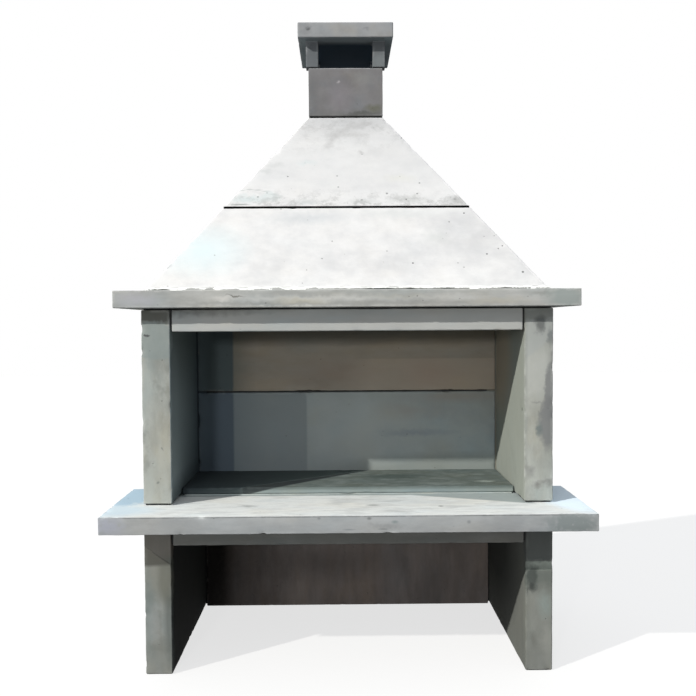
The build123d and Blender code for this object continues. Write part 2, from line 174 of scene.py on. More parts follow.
WALL_COATS = (
    ((0.65, WALL_FRONT, 1.03), (0.15, 0.03, 0.15), "#B8BAB5", 0.55, 0.6),
    # Painted shade: a flat tone above a diagonal line near the right wall's top, standing for a
    # shadow edge.
    ((0.3315, WALL_FRONT, 1.49), (0.5, 0.03, 0.5), "#A2A6A4", 0.7, 0.02),
    # Painted shade: the left wall's inner face, darker and bluer all over, and darker still towards
    # the back, the top and the foot.
    ((-0.6, 0.0, 0.92), (SKIN, WIDE, WIDE), "#808C8F", 0.92, 0.2),
    ((-0.6, 0.28, 0.92), (SKIN, 0.46, WIDE), "#59666D", 0.85, 0.8),
    ((-0.6, 0.0, 1.27), (SKIN, WIDE, 0.34), "#3D4541", 0.55, 0.8),
    ((-0.6, 0.05, 0.56), (SKIN, WIDE, 0.12), "#2A3236", 0.65, 0.8),
    ((0.6, 0.0, 0.92), (SKIN, WIDE, WIDE), "#868B83", 0.85, 0.2),
    # Painted light: a lighter, warmer tone where the lintel's shadow falls on the right wall's
    # inner face; the coat after it is painted shade along the face's top.
    ((0.6, 0.15, 1.08), (SKIN, 0.26, 0.28), "#9A9080", 0.85, 0.5),
    ((0.6, 0.0, 1.21), (SKIN, WIDE, 0.09), "#6A675F", 0.7, 0.8),
    ((0.6, -0.238, 0.901), (SKIN, 0.01, 0.009), "#4D4F4C", 0.8, 0.7),
    ((0.602, WALL_FRONT, 0.92), (0.012, 0.02, WIDE), "#888B86", 0.55, 0.6),
)
UPPER_PANEL_SPOTS = on_front(PANEL_FRONT,
    ((0.333, 0.995), (0.15, 0.045, 0.085), "#95746A", 0.36, 0.95),
    ((-0.06, 1.0), (0.26, 0.045, 0.08), "#887468", 0.32, 0.9))
UPPER_PANEL_COATS = on_front(PANEL_FRONT,
    # Painted shade: the panel's top under the lintel, and its left part towards the left wall, with
    # a sharp shadow edge of that wall. The last coat is painted light, which lightens the soft
    # box's shadow next to the wall.
    ((0.0, 1.215), (1.6, 0.045, 0.11), "#2C2D2A", 0.88, 0.9),
    ((-1.0, 1.05), (0.64, 0.045, WIDE), "#5E615A", 0.8, 0.2),
    ((-2.45, 1.05), (2.0, 0.045, WIDE), "#4F5A5D", 0.92, 0.004),
    ((-2.53, 1.05), (2.0, 0.045, WIDE), "#6F7C81", 0.7, 0.025))
LOWER_PANEL_SPOTS = on_front(PANEL_FRONT,
    ((0.26, 0.85), (0.22, 0.045, 0.05), "#9B968C", 0.45, 0.9),
    ((0.06, 0.84), (0.1, 0.045, 0.09), "#A9B2B2", 0.5, 0.9),
    ((0.28, 0.76), (0.2, 0.045, 0.02), "#7F8A93", 0.5, 0.9))
LOWER_PANEL_COATS = on_front(PANEL_FRONT,
    ((0.06, 0.77), (0.34, 0.045, 0.35), "#B0B6B4", 0.5, 0.9),
    # Painted shade: the right part of the panel's foot, darkened over the strip that the lamp
    # lights under the lintel.
    ((0.5, 0.6), (0.7, 0.045, 0.09), "#7C827C", 0.6, 0.5),
    # Painted shadow: darker left of a sharp vertical edge.
    ((-2.157, 0.76), (2.0, 0.045, WIDE), "#838B8D", 0.75, 0.004),
    ((0.42, 0.905), (0.26, 0.045, 0.034), "#9A8F82", 0.45, 0.8),
    # Painted shade towards the left wall, with a sharp shadow edge of that wall. The last coat is
    # painted light, which lightens the soft box's shadow next to the wall.
    ((-1.0, 0.76), (0.68, 0.045, WIDE), "#727D82", 0.7, 0.25),
    ((-2.45, 0.76), (2.0, 0.045, WIDE), "#5A6670", 0.94, 0.004),
    ((-2.53, 0.76), (2.0, 0.045, WIDE), "#76848D", 0.6, 0.025))
LINTEL_SPOTS = on_front(WALL_FRONT,
    # Painted shade: the lintel's top, darkened under the mantel, most at the left.
    ((-0.6, 1.25), (0.45, 0.05, 0.03), "#565650", 0.6, 0.8))
MANTEL_SPOTS = on_front(MANTEL_FRONT,
    ((0.05, 1.306), (0.64, 0.03, 0.011), "#999C99", 0.6, 0.8),
    ((0.0, 1.286), (0.6, 0.03, 0.01), "#C2C3BF", 0.55, 0.8),
    ((-0.1, 1.268), (0.7, 0.03, 0.008), "#92938F", 0.55, 0.8),
    ((-0.15, 1.256), (0.48, 0.03, 0.006), "#C3C3BB", 0.55, 0.8),
    ((-0.373, 1.293), (0.04, 0.02, 0.004), "#66665F", 0.85, 0.8),
    ((-0.415, 1.282), (0.045, 0.03, 0.012), "#CDCBC6", 0.6, 0.8),
    ((-0.158, 1.276), (0.12, 0.03, 0.016), "#BDB7A4", 0.45, 0.8),
    ((0.174, 1.29), (0.15, 0.03, 0.014), "#9A9A93", 0.55, 0.8),
    ((0.507, 1.275), (0.14, 0.03, 0.018), "#BAB5A6", 0.4, 0.8),
    ((0.65, 1.296), (0.06, 0.03, 0.01), "#8A8C87", 0.6, 0.8),
    ((-0.7, 1.284), (0.09, 0.03, 0.03), "#ACACB3", 0.6, 0.8),
    ((0.73, 1.284), (0.09, 0.05, 0.06), "#8F9896", 0.75, 0.6))
MANTEL_COATS = on_front(MANTEL_FRONT, *(
    ((0.725 * side, 1.3135), (0.056, 0.01, 0.003), "#6A6D6B", 0.75, 0.3) for side in SIDES))
HOOD_SPOTS = (
    ((0.0, -0.04, 1.95), (0.3, 0.15, 0.11), "#A8A9AB", 0.8, 0.9),
    ((0.0, -0.1, 1.8), (0.6, 0.3, 0.26), "#CDCECF", 0.45, 0.6),
    *(((x, -0.06, z), (0.03, 0.08, 0.017), "#A2A2A2", 0.42, 0.9) for x, z in (
        (-0.062, 1.84), (-0.054, 1.862), (-0.04, 1.882), (-0.016, 1.898), (0.01, 1.91),
        (0.036, 1.92), (0.062, 1.926), (0.086, 1.928))),
    ((0.02, -0.055, 1.885), (0.08, 0.08, 0.014), "#BBBBBB", 0.55, 0.8),
    ((0.054, -0.084, 1.812), (0.02, 0.05, 0.012), "#ADADAD", 0.55, 0.8),
    ((-0.141, -0.096, 1.776), (0.05, 0.05, 0.012), "#C9D0D1", 0.6, 0.8),
    ((-0.255, -0.099, 1.769), (0.06, 0.05, 0.016), "#C4C6C6", 0.6, 0.8),
    ((-0.298, -0.107, 1.746), (0.05, 0.05, 0.014), "#BFC2C2", 0.6, 0.8),
    ((0.19, -0.117, 1.717), (0.07, 0.05, 0.022), "#CFCFC8", 0.5, 0.9),
    ((-0.35, -0.142, 1.64), (0.09, 0.05, 0.022), "#C3CDCE", 0.75, 0.7),
    ((-0.27, -0.138, 1.648), (0.05, 0.05, 0.026), "#C6CECE", 0.65, 0.6),
    ((-0.14, -0.146, 1.628), (0.09, 0.05, 0.014), "#B9BDBD", 0.7, 0.8),
    ((0.06, -0.146, 1.63), (0.07, 0.05, 0.014), "#BFC2C1", 0.65, 0.8),
    ((0.22, -0.14, 1.635), (0.1, 0.05, 0.018), "#BDBFBE", 0.7, 0.8),
    ((0.395, -0.148, 1.635), (0.065, 0.05, 0.026), "#ABACAB", 0.75, 0.8),
    ((-0.13, -0.17, 1.57), (0.2, 0.06, 0.03), "#C0C4C7", 0.65, 0.9),
    ((0.18, -0.165, 1.582), (0.22, 0.06, 0.022), "#CBCECE", 0.6, 0.9),
    ((0.31, -0.196, 1.5), (0.06, 0.06, 0.04), "#C3C6C5", 0.6, 0.9),
    ((-0.5, -0.205, 1.45), (0.19, 0.1, 0.12), "#D2E2E5", 0.75, 0.9),
)
HOOD_COATS = tuple((centre, (size, 0.03, 0.8 * size), "#3F4442", 0.85, 0.5) for size, *centre in (
    (0.006, 0.054, -0.146, 1.635), (0.005, 0.143, -0.138, 1.659), (0.004, 0.25, -0.138, 1.658),
    (0.004, 0.26, -0.124, 1.698), (0.004, -0.029, -0.129, 1.684), (0.003, 0.191, -0.115, 1.723),
    (0.004, -0.281, -0.136, 1.663), (0.004, -0.033, -0.114, 1.726), (0.003, 0.057, -0.085, 1.808),
    (0.003, -0.148, -0.096, 1.776), (0.005, -0.313, -0.142, 1.648), (0.006, 0.383, -0.145, 1.637),
    (0.004, 0.412, -0.164, 1.585), (0.004, 0.483, -0.217, 1.437), (0.004, 0.226, -0.228, 1.406),
    (0.005, 0.602, -0.24, 1.373))) + tuple(
        ((x, y, z), (0.02, 0.03, 0.0035), "#9CA3A2", 0.55, 0.7) for x, y, z in (
            (-0.373, -0.132, 1.673), (-0.342, -0.132, 1.676), (-0.313, -0.132, 1.674),
            (-0.285, -0.134, 1.669), (-0.262, -0.138, 1.658), (-0.248, -0.143, 1.645))) + (
    ((-0.375, -0.151, 1.62), (0.045, 0.03, 0.004), "#747C7B", 0.65, 0.7),
    ((-0.44, -0.15, 1.626), (0.03, 0.03, 0.005), "#A3AAA9", 0.6, 0.7),
)
# Painted shade: a dark line and black dashes on the hood's bed, for the shade in the gaps under the
# hood's foot.
MORTAR_COATS = on_front(HOOD_BED_FRONT,
    ((0.34, 1.3176), (0.4, 0.04, 0.0024), "#5C5D5A", 0.75, 0.4),
    *(((x, 1.3178), (reach, 0.04, 0.0026), "#30322F", 0.92, 0.3) for x, reach in (
        (0.11, 0.058), (0.34, 0.026), (0.6, 0.09), (-0.643, 0.042), (-0.56, 0.02), (0.215, 0.02))))
JOINT_COATS = (
    ((0.61, 0.2, 0.93), (0.05, 0.2, 1.0), "#85847A", 0.95, 0.1),
    ((-0.61, 0.2, 0.93), (0.05, 0.2, 1.0), "#4A545B", 0.95, 0.1),
)
FLUE_SPOTS = on_front(FLUE_FRONT,
    ((-0.02, 2.03), (0.06, 0.03, 0.08), "#8B848A", 0.4, 0.9),
    ((-0.118, 2.05), (0.028, 0.03, 0.09), "#666869", 0.4, 0.8),
    ((0.062, 2.098), (0.06, 0.03, 0.03), "#8B8C89", 0.4, 0.8),
    ((-0.028, 2.082), (0.009, 0.03, 0.009), "#B4B0B3", 0.7, 0.8),
    ((0.107, 1.985), (0.05, 0.03, 0.022), "#636455", 0.7, 0.7),
    ((0.06, 1.966), (0.085, 0.03, 0.01), "#3F403C", 0.7, 0.8),
    ((0.0, 1.955), (0.4, 0.3, 0.03), "#6A6B69", 0.55, 0.7))
FLUE_COATS = (
    ((0.0, FLUE_FRONT, 1.956), (WIDE, WIDE, 0.006), "#161616", 0.9, 0.4),
    *(((0.137 * side, FLUE_FRONT, 1.99), (0.004, 0.03, 0.06), "#3C3D3D", 0.75, 0.5)
      for side in SIDES),
    ((0.0, FLUE_FRONT, 2.133), (WIDE, 0.01, 0.004), "#A0A3A6", 0.7, 0.5),
)
CAP_SPOTS = on_front(CAP_FRONT,
    ((-0.135, 2.262), (0.013, 0.02, 0.008), "#5B5D5F", 0.8, 0.7),
    ((0.074, 2.26), (0.012, 0.02, 0.007), "#7E8082", 0.6, 0.8))
CAP_COATS = (
    # Painted shade under the cap: darker posts and underside, nearly black in the hollow between
    # the posts, less dark outside them.
    ((0.0, CAP_MIDDLE, 2.18), (WIDE, WIDE, 0.049), "#50565A", 0.75, 0.05),
    ((0.0, CAP_MIDDLE, CAP_UNDERSIDE), (WIDE, WIDE, 0.0018), "#6B7478", 0.85, 0.2),
    ((0.0, 0.18, CAP_UNDERSIDE), (0.6, 0.209, 0.012), "#152735", 0.96, 0.2),
    *(((0.172 * side, CAP_MIDDLE, CAP_UNDERSIDE), (0.034, WIDE, 0.003), "#7E888B", 0.92, 0.25)
      for side in SIDES),
    ((0.126, FLUE_FRONT, 2.158), (0.04, 0.02, 0.042), "#7F8688", 0.5, 0.7),
)


# White of the hood's mortar, and tints that make a colour warmer or cooler
WHITE_CEMENT = "#E6E8E5"
WARM = (1.07, 1.0, 0.9)
COOL = (0.9, 0.985, 1.05)

# Clouds of the mortar lumps: size, detail, roughness, stretch and shift of the noise
LUMPS = (0.04, 4, 0.65, (1.5, 1, 1), (6, 1, 2))

# Concrete: how wide its clouds, specks and patches are, and how deep its relief is, in metres
MOTTLE_SIZE = 0.055
SAND_SIZE = 0.006
STREAK_SIZE = 0.012
HUE_SIZE = 0.11
BLOTCH_SIZE = 0.15
PIT_SPACING = 0.03
PITTED_SIZE = 0.07
RUBBED_SIZE = 0.05
GRIME_SIZE = 0.036
RELIEF = 0.0022

# Share of a cloud texture where chips end and where they are full
CHIP_THRESHOLDS = (0.66, 0.74)

# Meshes: how near vertices are welded, how near to a front they belong to it, how flat faces are
# joined and which ones count as facing the same way, how near the floor a vertex stands on it, and
# the widest angle shaded smooth
WELD = 1e-5
ON_FRONT = 1e-4
FLAT_RADIANS = 0.005
SAME_FACING = 0.999
STANDS_BELOW = 1e-5
SMOOTH_DEGREES = 40

# Look of dusty concrete: dull, with hardly any gloss at a flat angle
DULLNESS = 0.92
GLOSS = 0.1

# Ragged rims of the spots: how fine they are, and how far they stray in metres
RAGGED_SCALE = 42.0
RAGGED_REACH = 0.034

# Mortar: how far a pointed joint comes forward, the cuts in its faces, how far out the back joints'
# ends start, and what is squeezed out: least turn outwards, the texture's middle and its rise
POINTED_BY = 0.006
POINTED_GRID = 0.05
SQUEEZED_GRID = 0.008
MORTAR_EDGE_CUT = 0.003
CORNERS_FROM = 0.59
SQUEEZE_OUTWARDS = 0.05
SQUEEZE_MIDDLE = 0.42
SQUEEZE_RISE = 0.004

# Light: the key falls back and to the right, the soft box stands left of the camera and higher.
# The floor throws only a share of its colour up, and part of it glows white for the camera.
KEY_PLACE = (-3, -3, 4)
KEY_DIRECTION = (0.7, 0.476, -0.533)
KEY_DEGREES = 1.0
BOX_PLACE = (-1.38, -5.08, 1.7)
BOX_DIRECTION = (1.38, 4.81, -0.53)
BOX_SIZE = 0.4
SENSOR_WIDTH = 36
FLOOR_SIZE = 30
FLOOR_BOUNCE = 0.12
FLOOR_GLOW = 0.72


def linear(code):
    """Linear red, green and blue of an sRGB hex value."""
    shares = [int(code[i:i + 2], 16) / 255 for i in (1, 3, 5)]
    return tuple(s / 12.92 if s <= 0.04045 else ((s + 0.055) / 1.055) ** 2.4 for s in shares)


def colour(name, code, description):
    """Colour property with an sRGB hex value as its default."""
    return FloatVectorProperty(name=name, description=description, default=linear(code), size=3,
                               min=0, max=1, subtype="COLOR")


def number(name, default, description, **limits):
    """Number property with its unit or its least value."""
    return FloatProperty(name=name, description=description, default=default, **limits)


def length(name, default, description):
    """Length property in metres, not below zero."""
    return number(name, default, description, min=0, unit="LENGTH")


class BarbecueWear(bpy.types.PropertyGroup):
    """How far years outdoors have worn the cast pieces."""
    grid: length("Face grid", 0.012, "Distance between the cuts that let a face be worn")
    edge_cut: length("Edge cut", 0.006, "Distance of the outermost cuts from the piece's ends")
    wave: length("Face wave", 0.001, "How deep the hollows in a face are")
    wave_width: length("Wave width", 0.16, "How wide the hollows in a face are")
    arris_width: length("Arris width", 0.014, "How far from an edge it is worn")
    crumble: length("Crumbling", 0.0018, "How deep the edges have crumbled")
    crumble_width: length("Crumb width", 0.03, "How long the crumbled stretches are")
    chip: length("Chip depth", 0.0042, "How deep the chips in the edges are")
    chip_width: length("Chip width", 0.035, "How long the chips in the edges are")
    squeeze: length("Mortar squeeze", 0.016, "How far mortar stands out under the hood")
    squeeze_width: length("Mortar lump", 0.035, "How long the lumps of that mortar are")


class BarbecueColours(bpy.types.PropertyGroup):
    """Colours of the cast pieces, the mortar and the floor."""
    upright: colour("Walls", "#A0A39D", "Weathered grey concrete of the walls")
    leg: colour("Legs", "#8C8F8B", "Damp grey concrete of the legs")
    stain: colour("Damp stains", "#6E706B", "Dark stains on walls and legs")
    mantel: colour("Mantel", "#A9AAA7", "Mantel slab")
    lintel: colour("Upper lintel", "#B2B4B1", "Strip under the mantel")
    lower_lintel: colour("Lower lintel", "#80817D", "Strip under the worktop")
    worktop_side: colour("Worktop sides", "#9EA1A2", "Moulded sides of the worktop")
    worktop_top: colour("Worktop top", "#DFE2E0", "Trowelled top of the worktop")
    hood: colour("Hood", "#DADADA", "White cement of the hood")
    hood_cloud: colour("Hood clouds", "#C2C3C5", "Grey clouds in the white cement")
    flue: colour("Flue block", "#7B7A7B", "Dark grey flue block")
    cap: colour("Cap", "#999B9D", "Rain cap")
    hearth_top: colour("Hearth top", "#58615D", "Smoked top of the hearth")
    hearth_side: colour("Hearth sides", "#899493", "Clean sides of the hearth")
    panel_upper: colour("Upper back panel", "#9B9488", "Brown panel behind the fire")
    panel_lower: colour("Lower back panel", "#9CA4A4", "Blue-grey panel behind the fire")
    store_panel: colour("Wood store panel", "#8A817C", "Panel at the back of the wood store")
    joint: colour("Joint mortar", "#3E3F3F", "Raked grey mortar in the joints")
    pale_joint: colour("Pale mortar", "#AFB7B5", "Pointed grey mortar under the hearth")
    hood_mortar: colour("Hood mortar", "#A0A19F", "Grey bedding mortar under the hood")
    floor: colour("Floor", "#F4F4F3", "Plain pale floor")


class BarbecueStage(bpy.types.PropertyGroup):
    """Camera and light."""
    camera_x: number("Camera across", -0.0242, "Camera's place across", unit="LENGTH")
    camera_y: number("Camera back", -2.9037, "Camera's place from front to back", unit="LENGTH")
    camera_z: number("Camera height", 1.2015, "Camera's height over the floor", unit="LENGTH")
    dip: number("Dip", 0.0322, "How far the camera looks down", unit="ROTATION")
    turn: number("Turn", 0.0095, "How far the camera is turned to the right", unit="ROTATION")
    roll: number("Roll", -0.0059, "How far the camera leans over", unit="ROTATION")
    lens: number("Lens", 40.19, "Focal length for a 36 mm wide sensor", min=1, unit="CAMERA")
    sun: number("Key light", 3.75, "Strength of the key light", min=0)
    fill: number("Fill light", 48.0, "Power of the soft box in front", min=0, unit="POWER")
    sky: number("Sky", 0.84, "Strength of the soft light from above", min=0)
    horizon: number("Horizon", 0.12, "Strength of the soft light from the sides", min=0)


def add_node(kind, links=None, tree=None, **settings):
    """Adds a shader node, sets what it is given and feeds its inputs with values or sockets.

    It goes into the tree that is given, or else into the one that the sockets belong to.
    """
    links = links or {}
    sockets = [value for value in links.values() if isinstance(value, bpy.types.NodeSocket)]
    if tree is None:
        tree = sockets[0].id_data
    node = tree.nodes.new("ShaderNode" + kind)
    for name, value in settings.items():
        setattr(node, name, value)
    for key, value in links.items():
        if value in sockets:
            tree.links.new(value, node.inputs[key])
        else:
            node.inputs[key].default_value = value
    return node


def solid(rgb):
    """Colour of a property with the fourth number that a socket wants."""
    return (*rgb, 1.0)


def between(value, low, high, to_low=0.0, to_high=1.0):
    """Stretches a value's range to another one, and stops at its ends."""
    return add_node("MapRange", {
        "Value": value, "From Min": low, "From Max": high,
        "To Min": to_low, "To Max": to_high}).outputs[0]


def mixed(share, first, second):
    """Colour between two colours."""
    inputs = {0: share, 6: first, 7: second}
    return add_node("Mix", inputs, data_type="RGBA").outputs[2]


def maths(what, first, second):
    """Sum, product or such of two values."""
    return add_node("Math", {0: first, 1: second}, operation=what).outputs[0]


def times(first, second):
    """Product of two values."""
    return maths("MULTIPLY", first, second)


def plus(first, second):
    """Sum of two values."""
    return maths("ADD", first, second)


def minus(first, second):
    """First value less the second."""
    return maths("SUBTRACT", first, second)


def distance(value, middle):
    """How far a value is from the middle, on either side."""
    return maths("ABSOLUTE", minus(value, middle), 0.0)


def places(here):
    """A point's places across, back and up, as sockets."""
    return add_node("SeparateXYZ", {0: here}).outputs


def laid_over(shade, share, code):
    """Lays a share of a colour, an sRGB hex value, over a shade."""
    return mixed(share, shade, solid(linear(code)))


def vector_maths(what, output, links):
    """Output of a sum, product, length or such of vectors."""
    return add_node("VectorMath", links, operation=what).outputs[output]


def noise(place, size, detail=4.0, roughness=0.55, stretch=(1, 1, 1), shift=(0, 0, 0)):
    """Cloudy noise whose clouds have a real size in metres, longer along a stretched axis."""
    moved = add_node("Mapping", {
        "Vector": place, "Location": shift, "Scale": [1 / (size * s) for s in stretch]}).outputs[0]
    return add_node("TexNoise", {
        "Vector": moved, "Scale": 1.0, "Detail": detail, "Roughness": roughness}).outputs[0]


def stains_and_painted_shading(shade, place, stains):
    """Lays round marks over a colour: stains, painted shade and painted light.

    Each has a centre, its reach along x, y and z, a colour, how much of it shows, and how soft its
    rim is. Places and reaches are in metres in the object's own frame.
    """
    for centre, reach, code, share, rim in stains:
        moved = add_node("Mapping", {
            "Vector": place, "Location": [-c / r for c, r in zip(centre, reach)],
            "Scale": [1 / r for r in reach]}).outputs[0]
        far = vector_maths("LENGTH", "Value", {0: moved})
        shade = laid_over(shade, between(far, 1 - rim, 1.0, share, 0.0), code)
    return shade


def cast_with(shade, tint):
    """The colour with a little more or less of red, green and blue."""
    return vector_maths("MULTIPLY", 0, {0: shade, 1: tint})


def cast_concrete(name, base, dark, pale, streak=(1, 1, 1), cloud=0.3, grain=0.5, pits=0.5,
                  top=None, blotch=None, blotch_share=0.5, spots=(), coats=(), wash=None, tint=0.7,
                  streaky=0.3, bare=0.35):
    """Concrete cast in a mould and left outdoors: cloudy, pitted by air bubbles, matt like chalk.

    The clouds come from water in the mix, the streaks from the mould's boards or the float, the
    grain from sand and the pits from bubbles against the mould; the pits' dark colour is painted
    shade inside them. Its arrises are rubbed pale, and bare says how much.
    """
    material = bpy.data.materials.new(name)
    material.use_nodes = True
    tree = material.node_tree
    shader = tree.nodes["Principled BSDF"]
    coordinates = add_node("TexCoord", tree=tree)
    here = coordinates.outputs["Object"]

    clouds = between(noise(here, cloud, 5, 0.6, streak), 0.3, 0.52)
    mottle = noise(here, MOTTLE_SIZE, 6, 0.62, streak, (3, 1, 7))
    sand = noise(here, SAND_SIZE, 2, 0.7, shift=(5, 2, 1))
    streaks = noise(here, STREAK_SIZE, 3, 0.5, [s * s * 2.2 for s in streak], (1, 9, 4))

    shade = mixed(clouds, dark, base)
    if top is not None:
        up = places(coordinates.outputs["Normal"])[2]
        trowelled = mixed(clouds, darker(top, 0.86), solid(top))
        shade = mixed(between(up, 0.35, 0.75), shade, trowelled)
    hue = noise(here, HUE_SIZE, 3, 0.55, streak, (8, 3, 5))
    for low, high, cast in ((0.52, 0.7, WARM), (0.48, 0.3, COOL)):
        share = between(hue, low, high, 0.0, tint)
        shade = mixed(share, shade, cast_with(shade, cast))
    for pattern, low, high, share, over in (
            (mottle, 0.5, 0.78, 0.5, pale), (mottle, 0.5, 0.3, 0.4, dark),
            (streaks, 0.54, 0.78, streaky, dark), (streaks, 0.46, 0.26, 0.7 * streaky, pale),
            (sand, 0.3, 0.75, 0.16 * grain, dark)):
        shade = mixed(between(pattern, low, high, 0.0, share), shade, over)
    if blotch is not None:
        patches = noise(here, BLOTCH_SIZE, 4, 0.6, shift=(2, 8, 3))
        edge = 0.64 - 0.12 * blotch_share
        shade = mixed(between(patches, edge, edge + 0.07, 0.0, 0.4), shade, blotch)

    ragged = add_node("TexNoise", {
        "Vector": here, "Scale": RAGGED_SCALE, "Detail": 4.0}).outputs["Color"]
    ragged = vector_maths("SUBTRACT", 0, {0: ragged, 1: (0.5, 0.5, 0.5)})
    ragged = vector_maths("SCALE", 0, {0: ragged, "Scale": RAGGED_REACH})
    ragged = vector_maths("ADD", 0, {0: here, 1: ragged})
    shade = stains_and_painted_shading(stains_and_painted_shading(shade, here, coats), ragged, spots)
    if wash is not None:
        shade = wash(shade, here)

    # The pits are coloured dark: painted shade inside the bubble holes, which the bump only dents.
    cells = add_node("TexVoronoi", {
        "Vector": here, "Scale": 1 / PIT_SPACING, "Randomness": 1.0}).outputs["Distance"]
    where = between(noise(here, PITTED_SIZE, 2, 0.5, shift=(7, 7, 2)), 0.52, 0.62)
    pit = times(between(cells, 0.055, 0.1, 1.0, 0.0), where)
    shade = laid_over(shade, times(pit, 0.8 * pits), "#3C3D3B")

    rubbing = add_node("Attribute", tree=tree, attribute_name="rubbing").outputs["Fac"]
    worn = between(noise(here, RUBBED_SIZE, 4, 0.6, shift=(4, 4, 4)), 0.45, 0.62)
    rubbed = times(between(rubbing, 0.45, 1.0), worn)
    shade = mixed(times(rubbed, bare), shade, pale)

    relief = plus(times(mottle, 0.5), times(sand, 0.35 * grain))
    relief = minus(relief, times(pit, 1.1))
    bump = add_node("Bump", {
        "Height": relief, "Distance": RELIEF, "Strength": 0.5}).outputs[0]
    tree.links.new(shade, shader.inputs["Base Color"])
    tree.links.new(bump, shader.inputs["Normal"])
    shader.inputs["Roughness"].default_value = DULLNESS
    shader.inputs["IOR"].default_value = 1.5
    shader.inputs["Specular IOR Level"].default_value = GLOSS
    return material


def left_leg_painted_shadow(shade, here):
    """Painted shadow on the left leg, from a level line up to a slanted one under the worktop's
    end.
    """
    slant_slope, level_slope = 0.693, -0.05
    across, back, up = places(here)
    slanted = plus(up, times(across, slant_slope))
    level = plus(up, times(across, level_slope))
    below = between(slanted, -0.0425, -0.037, 1.0, 0.0)
    above = between(level, 0.404, 0.416)
    front = between(back, -0.262, -0.256, 0.92, 0.0)
    return laid_over(shade, times(front, times(below, above)), "#54544F")


def hearth_front_grey(shade, here):
    """Grey on the worktop: a wedge between the hearth's front and the right wall's foot, and a band
    along the hearth's front.
    """
    wall_x, wedge_length, wedge_depth = 0.603, 0.418, 0.149
    across, back, _ = places(here)
    along = times(minus(wall_x, across), 1 / wedge_length)
    out = times(minus(HEARTH_FRONT, back), 1 / wedge_depth)
    wedge = between(plus(along, out), 0.97, 1.03, 1.0, 0.0)
    band = between(back, -0.139, -0.134)
    inside = between(distance(across, 0.0), 0.62, 0.64, 1.0, 0.0)
    grey_area = times(maths("MAXIMUM", wedge, band), inside)
    return laid_over(shade, times(grey_area, 0.85), "#8F9A9A")


def hearth_painted_shadow(shade, here):
    """Painted shadow on the hearth's top and front, up to a rim that slants across both: it carries
    the left wall's shadow past where the lamp casts it.

    Left of a second line, the core's, which runs along the lamp's own shadow edge, the painted
    shade is lighter, and darker towards the left wall. Between both lines the painted shadow
    is black.
    """
    rim_slope, rim_x, front_slope = 1.08, 0.122, 4.2
    core_slope, core_x = 1.4706, 0.2015
    across, back, up = places(here)
    rim = minus(times(back, rim_slope), rim_x)
    rim = plus(rim, times(minus(up, HEARTH_TOP), front_slope))
    core = minus(times(back, core_slope), core_x)
    corner_shade = laid_over(solid(linear("#363E42")), between(across, -0.55, -0.05), "#5C6765")
    painted_shadow = laid_over(corner_shade, between(minus(across, core), -0.008, 0.004), "#202528")
    return mixed(between(minus(across, rim), -0.01, 0.01, 0.88, 0.0), shade, painted_shadow)


def panel_painted_light(shade, here):
    """Painted light on the upper panel: lighter brown below a level line and right of the middle,
    where light comes in under the lintel's shadow edge.
    """
    across, _, up = places(here)
    low = between(up, 1.055, 1.06, 1.0, 0.0)
    lit_below_edge = times(low, between(across, -0.02, 0.1))
    return laid_over(shade, times(lit_below_edge, 0.45), "#B3A595")


def hood_grime(shade, here):
    """Grime in the brushed cement: patches above the seam and round the flue."""
    up = places(here)[2]
    above = times(between(up, 1.61, 1.612), between(up, 1.622, 1.69, 1.0, 0.0))
    top = between(up, 1.78, 1.92, 0.0, 0.6)
    patches = noise(here, GRIME_SIZE, 6, 0.8, (1.5, 1, 1), (3, 3, 8))
    grime = times(plus(above, top), between(patches, 0.5, 0.6))
    return laid_over(shade, times(grime, 0.46), "#979897")


def white_lumps(shade, here):
    """The hood's white cement on the grey bed: all along its top, and in lumps left of the middle.

    Where the gaps are, given by middle and half width, the grey comes up higher.
    """
    gaps, gap_rim, gap_height = ((-0.517, 0.06), (-0.245, 0.014), (-0.12, 0.01)), 0.012, 0.0035
    across, _, up = places(here)
    left = between(distance(across, -0.28), 0.2, 0.3, 0.03, 0.0)
    lumps = plus(noise(here, *LUMPS), left)
    edge = plus(up, times(lumps, 0.02))
    for middle, half in gaps:
        gap = between(distance(across, middle), half, half + gap_rim, gap_height, 0.0)
        edge = minus(edge, gap)
    upper = between(edge, 1.329, 1.33)
    white = maths("MAXIMUM", between(lumps, 0.575, 0.605), upper)
    return laid_over(shade, white, WHITE_CEMENT)


def mortar_smears(shade, here):
    """White mortar smeared over the mantel's upper front edge while the hood was set."""
    across, back, up = places(here)
    reach = plus(up, times(noise(here, *LUMPS), 0.08))
    reach = plus(reach, between(across, -0.05, 0.2, 0.0, -0.006))
    smear = between(reach, 1.366, 1.3675)
    inside = between(distance(across, 0.0), 0.66, 0.7, 1.0, 0.0)
    front = between(back, HOOD_BED_FRONT, -0.25, 1.0, 0.0)
    smear = times(smear, times(inside, front))
    return laid_over(shade, times(smear, 0.9), WHITE_CEMENT)


def darker(rgb, share):
    """The colour at a share of its brightness, ready for a socket."""
    return solid([c * share for c in rgb])


def lighter(rgb, share):
    """The colour brought towards white by a share, ready for a socket."""
    return solid([c + (1 - c) * share for c in rgb])


def tones(rgb, dark_share, pale_share):
    """Base, dark and pale tone of a concrete, ready for sockets."""
    return solid(rgb), darker(rgb, dark_share), lighter(rgb, pale_share)


def weights_near_arrises(mesh, width):
    """For each vertex, 1 on an arris, falling to 0 at the width from it."""
    first = {}
    bent = set()
    for face in mesh.polygons:
        for index in face.vertices:
            if index not in first:
                first[index] = face.normal
            elif first[index].dot(face.normal) < SAME_FACING:
                bent.add(index)
    tree = KDTree(len(bent))
    for index in bent:
        tree.insert(mesh.vertices[index].co, index)
    tree.balance()
    return [max(0.0, 1.0 - tree.find(v.co)[2] / width) for v in mesh.vertices]


